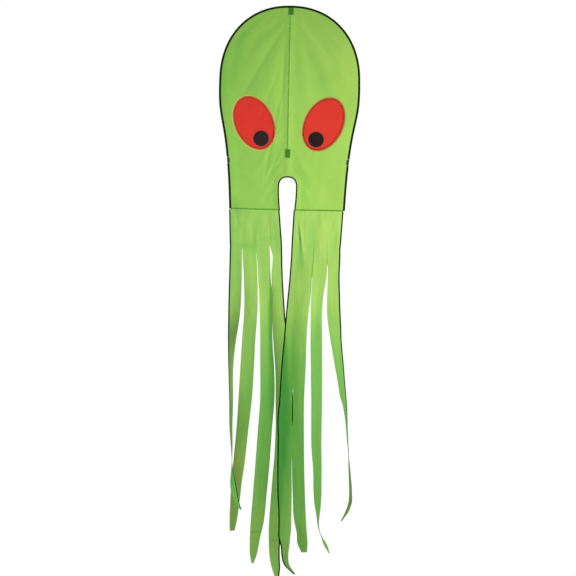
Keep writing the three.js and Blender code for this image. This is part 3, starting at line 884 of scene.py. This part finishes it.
def make_disc(name, edge, lift, rings, steps):
    """Applique cloth that follows the sail at a small distance in front of it."""
    centre = edge[0]
    vertices = [(centre[0], sail_depth(*centre) - lift, centre[1])]
    for ring in range(1, rings + 1):
        for x, z in ellipse_loop(edge, steps, ring / rings):
            vertices.append((x, sail_depth(x, z) - lift, z))
    faces = [(0, 1 + (k + 1) % steps, 1 + k) for k in range(steps)]
    faces += [tuple(1 + i for i in face) for face in grid_faces(rings, steps, closed=True)]
    return make_object(name, vertices, faces, [(v[0], -v[2]) for v in vertices])


def make_band(name, edge, band):
    """A raised band of zigzag thread along the edge of an applique."""
    outwards, lift, width = band
    steps, profile = 160, 7
    line = ellipse_loop(grown(edge, outwards), steps)
    vertices = []
    uvs = []
    run = 0.0
    for i in range(steps + 1):
        x, z = line[i % steps]
        run += math.dist(line[i % steps], line[i - 1]) if i else 0
        after = line[(i + 1) % steps]
        before = line[(i - 1) % steps]
        along = Vector((after[0] - before[0], after[1] - before[1])).normalized()
        for k in range(profile):
            part = k / (profile - 1) * 2 - 1
            raised = THREAD_HEIGHT * math.sqrt(max(0, 1 - part * part))
            vertices.append((
                x + along.y * part * width / 2,
                sail_depth(x, z) - lift - raised,
                z - along.x * part * width / 2,
            ))
            uvs.append((part * width / 2, run))
    return make_object(name, vertices, grid_faces(steps + 1, profile), uvs)


def make_eye(side):
    eye = eye_edge(LEGS[side]["sign"])
    pupil = pupil_edge(LEGS[side]["sign"])
    eye_cloth = make_disc(f"{side}_eye_cloth", eye, EYE_LIFT, rings=14, steps=96)
    eye_stitching = make_band(f"{side}_eye_stitching", eye, EYE_BAND)
    overlock = make_band(f"{side}_eye_overlock", eye, OVERLOCK_BAND)
    pupil_cloth = make_disc(f"{side}_pupil_cloth", pupil, PUPIL_LIFT, rings=8, steps=64)
    pupil_stitching = make_band(f"{side}_pupil_stitching", pupil, PUPIL_BAND)
    return [
        dress(eye_cloth, EYE, f"{side}_eye"),
        dress(eye_stitching, EYE_STITCH),
        dress(overlock, EYE_OVERLOCK),
        dress(pupil_cloth, PUPIL, f"{side}_pupil"),
        dress(pupil_stitching, PUPIL_STITCH),
    ]


def sleeve_section(i):
    """Round over the rod, drawn together into the lip that is sewn to the sail."""
    radius = SLEEVE_RADIUS * (1 + 0.03 * noise.noise(Vector((i * 0.2, 3.1, 0))))
    points = []
    for k in range(13):
        angle = math.radians(32 + 296 * k / 12)
        points.append((SLEEVE_MIDDLE + radius * math.cos(angle), radius * math.sin(angle)))
    for reach, lift in ((-0.5 * MM, -0.75 * MM), (0.0, 0.0), (-0.5 * MM, 0.75 * MM)):
        points.append((SLEEVE_WIDTH + reach, lift))
    return points


def sleeve_path(top, bottom):
    """The run along the right half of the outline between two levels."""
    line = even_line(OUTLINE, 4 * MM)
    directions = inward_directions(line)
    return [
        (Vector((x, 0, z)), d, FORWARD) for (x, z), d in zip(line, directions) if bottom <= z <= top
    ]


def make_sleeve(name, run, stands_for):
    return dress(sweep(name, run, sleeve_section), SLEEVE, stands_for)


def make_sleeves():
    reach = CONNECTOR_LENGTH / 2 + SEWING_GAP
    arch = both_halves(sleeve_path(CROWN_TOP, CONNECTOR_LEVEL + reach))
    made = [make_sleeve("rod_sleeve", arch, "arch_sleeve")]
    right_run = sleeve_path(CONNECTOR_LEVEL - reach, SIDE_SLEEVE_END)
    for side, leg in LEGS.items():
        run = [on_side(leg["sign"], entry) for entry in right_run]
        made.append(make_sleeve(f"{side}_lower_sleeve", run, f"{side}_side_sleeve"))
    return made


def hem_section(i):
    """A folded tape: flat, with a rounded fold at the outside."""
    half = TAPE_THICKNESS / 2
    bulge = 1 + 0.12 * noise.noise(Vector((i * 0.3, 1.7, 0)))
    front = [
        (0.35 * TAPE_FOLD, half * 0.75 * bulge),
        (TAPE_FOLD, half * bulge),
        (TAPE_WIDTH * 0.6, half * 0.9),
        (TAPE_WIDTH - 0.2 * MM, half * 0.8),
    ]
    back = [(reach, -lift) for reach, lift in reversed(front)]
    return [(0.0, 0.0)] + front + [(TAPE_WIDTH, 0.0)] + back


def make_notch_binding():
    line = even_line(notch_outline(), 4 * MM)
    directions = inward_directions(line)
    right = [(Vector((x, 0, z)), -d, FORWARD) for (x, z), d in zip(line, directions)]
    made = sweep("notch_tape", both_halves(right), hem_section)
    return dress(made, HEM, "notch_binding")


def make_cross_seam(side):
    """The turned-in edge of a leg, sewn behind the foot of the sail."""
    near, far = NOTCH_FOOT + 4 * MM, SEAM_HALF_WIDTH - 6 * MM

    def place(up, across):
        x = LEGS[side]["sign"] * (near + (far - near) * across)
        z = SEAM_LEVEL + 0.4 * MM + up * SEAM_ALLOWANCE
        return (x, 0.9 * MM + sail_depth(x, z), z), (x, -z)

    seam = make_grid(f"{side}_seam_allowance", 4, 40, place)
    return dress(seam, SEAM, f"{side}_cross_seam")


def make_connector(side):
    """A vinyl tube with two lobes moulded on its inner side."""
    sign = LEGS[side]["sign"]
    line = even_line(inset_line(OUTLINE, CONNECTOR_INSET), 2 * MM)
    index = min(range(len(line)), key=lambda i: abs(line[i][1] - CONNECTOR_LEVEL))
    x, z = line[index]
    after = line[index + 3]
    along = Vector((sign * (after[0] - x), 0, after[1] - z)).normalized()
    middle = Vector((sign * x, 0, z))
    work = bmesh.new()
    turn = along.to_track_quat("Z", "Y").to_matrix().to_4x4()
    turn.translation = middle
    bmesh.ops.create_cone(
        work, cap_ends=True, segments=28, radius1=CONNECTOR_RADIUS, radius2=CONNECTOR_RADIUS,
        depth=CONNECTOR_LENGTH - 2 * SEWING_GAP, matrix=turn,
    )
    for end in (-1, 1):
        place = turn.copy()
        lobe = middle + along * (end * LOBE_OFFSET)
        place.translation = lobe - Vector((sign * LOBE_INSET, 0, 0))
        bmesh.ops.create_uvsphere(
            work, u_segments=20, v_segments=14, radius=LOBE_RADIUS, matrix=place
        )
    mesh = bpy.data.meshes.new(f"{side}_connector")
    work.to_mesh(mesh)
    work.free()
    piece = add_object(f"{side}_connector", mesh)
    remesh = piece.modifiers.new("remesh", "REMESH")
    remesh.mode = "VOXEL"
    remesh.voxel_size = 0.7 * MM
    relax = piece.modifiers.new("relax", "SMOOTH")
    relax.iterations = 4
    apply_modifiers(piece)
    return dress(piece, VINYL, f"{side}_rod_connector")


def make_spine():
    """A straight rod with its ends rounded off."""
    low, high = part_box("spine_rod")
    steps = 20
    levels = [high[2], high[2] - 0.6 * MM]
    levels += list(np.linspace(high[2] - 6 * MM, low[2] + 6 * MM, 24))
    levels += [low[2] + 0.6 * MM, low[2]]
    vertices = []
    for i, z in enumerate(levels):
        end = i in (0, len(levels) - 1)
        radius = ROD_RADIUS - (0.5 * MM if end else 0)
        circle = ellipse_loop(((0, SPINE_OFFSET), radius, radius, 0), steps)
        vertices += [(x, y, z) for x, y in circle]
    rod = make_object("spine", vertices, tube_faces(len(levels), steps))
    fix_normals(rod)
    return dress(rod, ROD, "spine_rod")


def make_pocket(name, cad_node, mouth_below):
    """Webbing sewn down at its sides, standing up over the rod, with a folded hem at its mouth."""
    low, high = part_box(cad_node)
    half = (high[0] - low[0]) / 2

    def place(down, across):
        x = (across * 2 - 1) * half
        z = high[2] - down * (high[2] - low[2])
        to_mouth = 1 - down if mouth_below else down
        hem = 0.5 * MM if to_mouth < 0.16 else 0.0
        tunnel = clamp(1 - max(0, (1 - to_mouth) * 1.25 - 0.95) / 0.30)
        off_rod = clamp(abs(x) / (6.2 * MM))
        rise = 4.2 * MM * tunnel * (0.5 + 0.5 * math.cos(math.pi * off_rod))
        return (x, 1.0 * MM + hem + rise, z), (x + half, -z)

    made = make_grid(name, 22, 27, place)
    thick = made.modifiers.new("thickness", "SOLIDIFY")
    thick.thickness = 0.9 * MM
    thick.offset = 0
    apply_modifiers(made)
    return dress(made, POCKET, cad_node)


# --- legs and tentacles


def cad_rings(node_name):
    """The ends of each level cross section of a CAD strip: {level: (one end, other end)}."""
    groups = {}
    for vertex in frame["nodes"][node_name].data.vertices:
        groups.setdefault(round(vertex.co.z, 4), []).append(np.array(vertex.co)[:2])
    rings = {}
    for level, points in groups.items():
        points = np.array(points)
        gaps = np.linalg.norm(points[:, None] - points[None], axis=2)
        ends = []
        for end in np.unravel_index(np.argmax(gaps), gaps.shape):
            beside = points[gaps[end] < 2.2 * MM]
            ends.append((beside.min(axis=0) + beside.max(axis=0)) / 2)
        rings[level] = ends
    return rings


def distance(a, b):
    return np.linalg.norm(a - b)


def strip_stations(number):
    """(level, left edge, right edge) of a tentacle, from its CAD cross sections."""
    stations = []
    for part in ("upper", "lower"):
        rings = cad_rings(f"tentacle_{number}_{part}")
        hems = cad_rings(f"tentacle_{number}_{part}_hem") if number in HEM_SIDE else {}
        for level in sorted(rings, reverse=True):
            left, right = rings[level]
            if stations:
                _, last_left, last_right = stations[-1]
                straight = distance(left, last_left) + distance(right, last_right)
                swapped = distance(right, last_left) + distance(left, last_right)
                turned = swapped < straight
            else:
                turned = left[0] > right[0]
            if turned:
                left, right = right, left
            if level in hems and HEM_SIDE[number] < 0:
                left = max(hems[level], key=lambda point: distance(point, right))
            elif level in hems:
                right = max(hems[level], key=lambda point: distance(point, left))
            stations.append((level, left, right))
    return stations


def leg_edges(side, z):
    """x of the outer and inner edge of a leg at a level."""
    leg = LEGS[side]
    share = (z - SEAM_LEVEL) / (SLIT_LEVEL - SEAM_LEVEL)
    outer, inner = (top + (foot - top) * share for top, foot in zip(leg["top"], leg["foot"]))
    return leg["sign"] * outer, leg["sign"] * inner


def leg_sides(side, z):
    """x of the left and right edge of a leg at a level."""
    outer, inner = leg_edges(side, z)
    return (outer, inner) if side == "left" else (inner, outer)


def add_leg_stations(side, number, stations, cuts):
    """Carries a strip up into the leg, between the two cuts that bound it."""
    first = (number - 1) % 4
    extra = []
    for z in (STRIP_TOP, STRIP_TOP - 12 * MM):
        left, right = leg_sides(side, z)
        edges = [left + (right - left) * cut for cut in cuts]
        extra.append((z, np.array([edges[first], 0.0]), np.array([edges[first + 1], 0.0])))
    return extra + stations


def slit_cuts(side, all_stations):
    """Where the slits cut the leg, as shares of its width from the left."""
    left, right = leg_sides(side, SLIT_LEVEL)
    cuts = [0.0]
    for number in LEGS[side]["tentacles"][:-1]:
        here = all_stations[number][0][2][0]
        there = all_stations[number + 1][0][1][0]
        cuts.append(((here + there) / 2 - left) / (right - left))
    return cuts + [1.0]


def smooth_section(stations):
    """A function of level that gives the left and right edge, smooth through the stations."""
    levels = np.array([-s[0] for s in stations])
    values = np.array([np.concatenate([s[1], s[2]]) for s in stations])
    keep = np.concatenate([[True], np.diff(levels) > 3 * MM])
    levels, values = levels[keep], values[keep]
    slopes = np.gradient(values, levels, axis=0)

    def at(z):
        i = int(np.clip(np.searchsorted(levels, -z) - 1, 0, len(levels) - 2))
        span = levels[i + 1] - levels[i]
        t = float(np.clip((-z - levels[i]) / span, 0, 1))
        start = (1 + 2 * t) * (1 - t) ** 2
        lead = t * (1 - t) ** 2
        finish = t * t * (3 - 2 * t)
        trail = t * t * (t - 1)
        value = start * values[i] + finish * values[i + 1]
        value = value + span * (lead * slopes[i] + trail * slopes[i + 1])
        return value[:2], value[2:]

    return at


def strip_point(number, section, z, share):
    """A point of a tentacle's cloth, the way it faces and the width, share 0 at its left edge."""
    left, right = section(z)
    across = right - left
    width = float(np.linalg.norm(across))
    facing = np.array([across[1], -across[0]]) / max(width, 1e-6)
    flat = left + across * share
    below = max(0.0, (SLIT_LEVEL - z) / (250 * MM))
    grow = min(1.0, below)
    bow = CAMBER[number] * MM * 0.6 * (1 + math.sin(below * 1.15 + number))
    bow *= 4 * share * (1 - share) * grow * min(1.0, width / (50 * MM))
    flutter = 1.6 * MM * grow * noise.noise(Vector((share * 1.5, z * 9, number * 3.7)))
    flutter += 0.7 * MM * grow * noise.noise(Vector((share * 3, z * 26, number * 1.9)))
    settle = clamp((z - SLIT_LEVEL + 80 * MM) / (120 * MM))
    x, y = flat + facing * (bow + flutter)
    y += leg_depth(flat[0], z) * settle
    return Vector((x, y, z)), Vector((facing[0], facing[1], 0)), width


def slit_overlap(sections, slit, z):
    """How far the cloth on both sides reaches into a slit, numbered from its left tentacle."""
    if slit not in SLIT_OPENS:
        return 0.0
    closed = (z - SLIT_OPENS[slit]) / (12 * MM) + 1
    if closed <= 0:
        return 0.0
    gap = sections[slit + 1](z)[0][0] - sections[slit](z)[1][0]
    return max(0.0, min(gap / 2, 3 * MM) + SLIT_OVERLAP) * min(1.0, closed)


def strip_levels(top, bottom):
    rows = max(3, int(math.ceil((top - bottom) / STRIP_ROW)))
    return [top + (bottom - top) * row / rows for row in range(rows + 1)]


def make_strip(name, number, sections, top, bottom):
    """A length of a tentacle's cloth, and how long it is along its middle."""
    levels = strip_levels(top, bottom)
    vertices = []
    uvs = []
    run = 0.0
    before = None
    middle_x = float(sum(edge[0] for edge in sections[number](STRIP_TOP)) / 2)
    for z in levels:
        left, right = sections[number](z)
        breadth = max(float(np.linalg.norm(right - left)), 1 * MM)
        first = -slit_overlap(sections, number - 1, z) / breadth
        last = 1 + slit_overlap(sections, number, z) / breadth
        shares = [first + (last - first) * k / (STRIP_COLUMNS - 1) for k in range(STRIP_COLUMNS)]
        line = [strip_point(number, sections[number], z, share) for share in shares]
        middle = line[STRIP_COLUMNS // 2][0]
        run += (middle - before).length if before is not None else 0
        before = middle
        for share, (point, _, width) in zip(shares, line):
            vertices.append(point)
            uvs.append((middle_x + (share - 0.5) * width, -top + run))
    made = make_object(name, vertices, grid_faces(len(levels), STRIP_COLUMNS), uvs)
    # Painted light and shade towards the tip of the strip.
    paint_light_and_shade(made, TIP_PAINTED_LIGHT_SHADE.get(number, 0.0))
    return dress(made, LEG), run


def make_strip_hem(name, number, section, top, bottom):
    side = HEM_SIDE[number]
    share = 0.0 if side < 0 else 1.0
    run = []
    for z in strip_levels(top, bottom):
        point, facing, width = strip_point(number, section, z, share)
        reach = min(1.0, TAPE_WIDTH / max(width, 1e-6))
        inside, _, _ = strip_point(number, section, z, share - side * reach)
        run.append((point, (inside - point).normalized(), facing))
    return dress(sweep(name, run, hem_section), HEM)


def make_leg_panel(side):
    """From the cross seam down to where the tentacles' own cloth starts."""
    def place(down, across):
        z = SEAM_LEVEL + (STRIP_TOP - SEAM_LEVEL) * down
        outer, inner = leg_edges(side, z)
        x = outer + (inner - outer) * across
        return (x, leg_depth(x, z), z), (x, -z)

    made = make_grid(f"{side}_leg_cloth", 29, 64, place)
    paint_light_and_shade(made)
    return dress(made, LEG, f"{side}_leg_panel")


def make_leg_hem(side, edge):
    rows = 25
    top = SEAM_LEVEL - SEWING_GAP
    inward = Vector((-LEGS[side]["sign"] if edge == "outer" else LEGS[side]["sign"], 0, 0))
    run = []
    for row in range(rows):
        z = top + (STRIP_TOP - top) * row / (rows - 1)
        x = leg_edges(side, z)[0 if edge == "outer" else 1]
        run.append((Vector((x, leg_depth(x, z), z)), inward, FORWARD))
    made = sweep(f"{side}_{edge}_leg_hem", run, hem_section)
    return dress(made, HEM, f"{side}_leg_{edge}_hem")


def bend_across(made):
    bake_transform(made)


def make_faint_join(number, section):
    """A narrow overlap where two lengths of cloth are joined near the tip, in paler cloth: a
    painted highlight of the fold line there.
    """
    def place(down, across):
        z = FAINT_JOINS[number] - down * JOIN_OVERLAP
        point, facing, width = strip_point(number, section, z, across)
        return point - facing * JOIN_LIFT, ((across - 0.5) * width, -z)

    return dress(make_grid(f"tentacle_{number}_join", 3, 9, place), JOIN_PAINTED_HIGHLIGHT)


def make_tentacle_length(number, part, sections, top, bottom):
    """The cloth, its run, and the hem or join that goes with it."""
    name = f"tentacle_{number}_{part}"
    strip, run = make_strip(f"{name}_cloth", number, sections, top, bottom)
    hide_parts(name)
    extras = []
    if number in HEM_SIDE:
        hem = make_strip_hem(f"{name}_tape", number, sections[number], top, bottom)
        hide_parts(f"{name}_hem")
        extras.append(hem)
    if part == "lower" and number in FAINT_JOINS:
        extras.append(make_faint_join(number, sections[number]))
    return strip, run, extras


def make_tentacle(side, number, sections, tip):
    """Both lengths of a tentacle, split 40 mm above the level of its bend."""
    bend = OUTER_BEND_LEVEL if number in (1, 8) else BEND_LEVEL
    split = bend + 40 * MM
    upper_body = f"tentacle_{number}_upper_length"
    lower_body = f"tentacle_{number}_lower_length"
    lengths = [
        ("upper", STRIP_TOP, split, f"{side}_leg", upper_body, SLIT_LEVEL, SWING_BLEND),
        ("lower", split, tip, upper_body, lower_body, bend, BEND_BLEND),
    ]
    for part, top, bottom, above, below, hinge, reach in lengths:
        strip, run, extras = make_tentacle_length(number, part, sections, top, bottom)
        for piece in [strip] + extras:
            bend_across(piece)


def make_legs():
    stations = {number: strip_stations(number) for number in range(1, 9)}
    sections = {}
    for side, leg in LEGS.items():
        cuts = slit_cuts(side, stations)
        for number in leg["tentacles"]:
            reached = add_leg_stations(side, number, stations[number], cuts)
            sections[number] = smooth_section(reached)
    for side, leg in LEGS.items():
        panel = make_leg_panel(side)
        hems = [make_leg_hem(side, edge) for edge in ("outer", "inner")]
        for piece in [panel] + hems:
            bend_across(piece)
        for number in leg["tentacles"]:
            make_tentacle(side, number, sections, stations[number][-1][0])


# --- camera, light and floor


def add_area_light(name, place, aim, size, power):
    lamp = bpy.data.lights.new(name, "AREA")
    lamp.shape = "DISK"
    lamp.size = size
    lamp.energy = power
    made = add_object(name, lamp)
    made.location = place
    made.rotation_euler = (Vector(aim) - Vector(place)).to_track_quat("-Z", "Y").to_euler()
    made.visible_camera = False


def add_lights():
    """A white studio: the camera sees plain white, and the kite gets a softer light from it."""
    world = bpy.data.worlds.new("studio")
    bpy.context.scene.world = world
    world.use_nodes = True
    graph = Graph(world.node_tree)
    white = (1, 1, 1)
    seen = graph.add("ShaderNodeBackground", Color=white, Strength=1.0).outputs[0]
    lighting = graph.add("ShaderNodeBackground", Color=white, Strength=WORLD_LIGHT).outputs[0]
    to_camera = graph.add("ShaderNodeLightPath").outputs["Is Camera Ray"]
    graph.end(graph.mix_shaders(to_camera, lighting, seen), "ShaderNodeOutputWorld")
    for light in LIGHTS:
        add_area_light(*light)


def add_camera():
    camera = bpy.data.cameras.new("camera")
    camera.sensor_width = SENSOR_WIDTH
    camera.lens = SENSOR_WIDTH * CAMERA_DISTANCE / FRAME_HEIGHT
    camera.clip_end = 100
    made = add_object("camera", camera)
    made.location = FRAME_CENTRE + FORWARD * CAMERA_DISTANCE
    made.rotation_euler = (math.pi / 2, -KITE_LEAN, 0)
    bpy.context.scene.camera = made


def add_floor():
    steps = 96
    ring = [(x, y, 0) for x, y in ellipse_loop(((0, 0), FLOOR_RADIUS, FLOOR_RADIUS, 0), steps)]
    floor = make_object("floor", ring, [tuple(range(steps))], smooth=False)
    floor.location = (0, 0, FLOOR_LEVEL)
    floor.data.materials.append(pale_floor())


def dress_hidden_rods():
    """The CAD nodes that still show, such as the rods in the sleeves, get their slot's material."""
    slots = {part["node"]: part["material_slot"] for part in frame["record"]["subparts"]}
    for cad_node in frame["nodes"].values():
        if not cad_node.hide_render:
            cad_node.data.materials.clear()
            cad_node.data.materials.append(INNER_MATERIALS[slots[cad_node["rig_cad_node"]]])


# --- assembly

add_camera()
sail = make_sail()
sewn = [piece for side in LEGS for piece in make_eye(side)]
sewn.append(make_notch_binding())
sewn += [make_cross_seam(side) for side in LEGS]
sleeves = make_sleeves()
fittings = [make_connector(side) for side in LEGS] + [
    make_spine(),
    make_pocket("upper_pocket", "nose_pocket", True),
    make_pocket("lower_pocket", "spine_base_pocket", False),
]
for piece in [sail] + sewn + sleeves + fittings:
    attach(piece, "head")
make_legs()
dress_hidden_rods()
add_floor()
add_lights()
bpy.context.scene.view_settings.view_transform = "Standard"
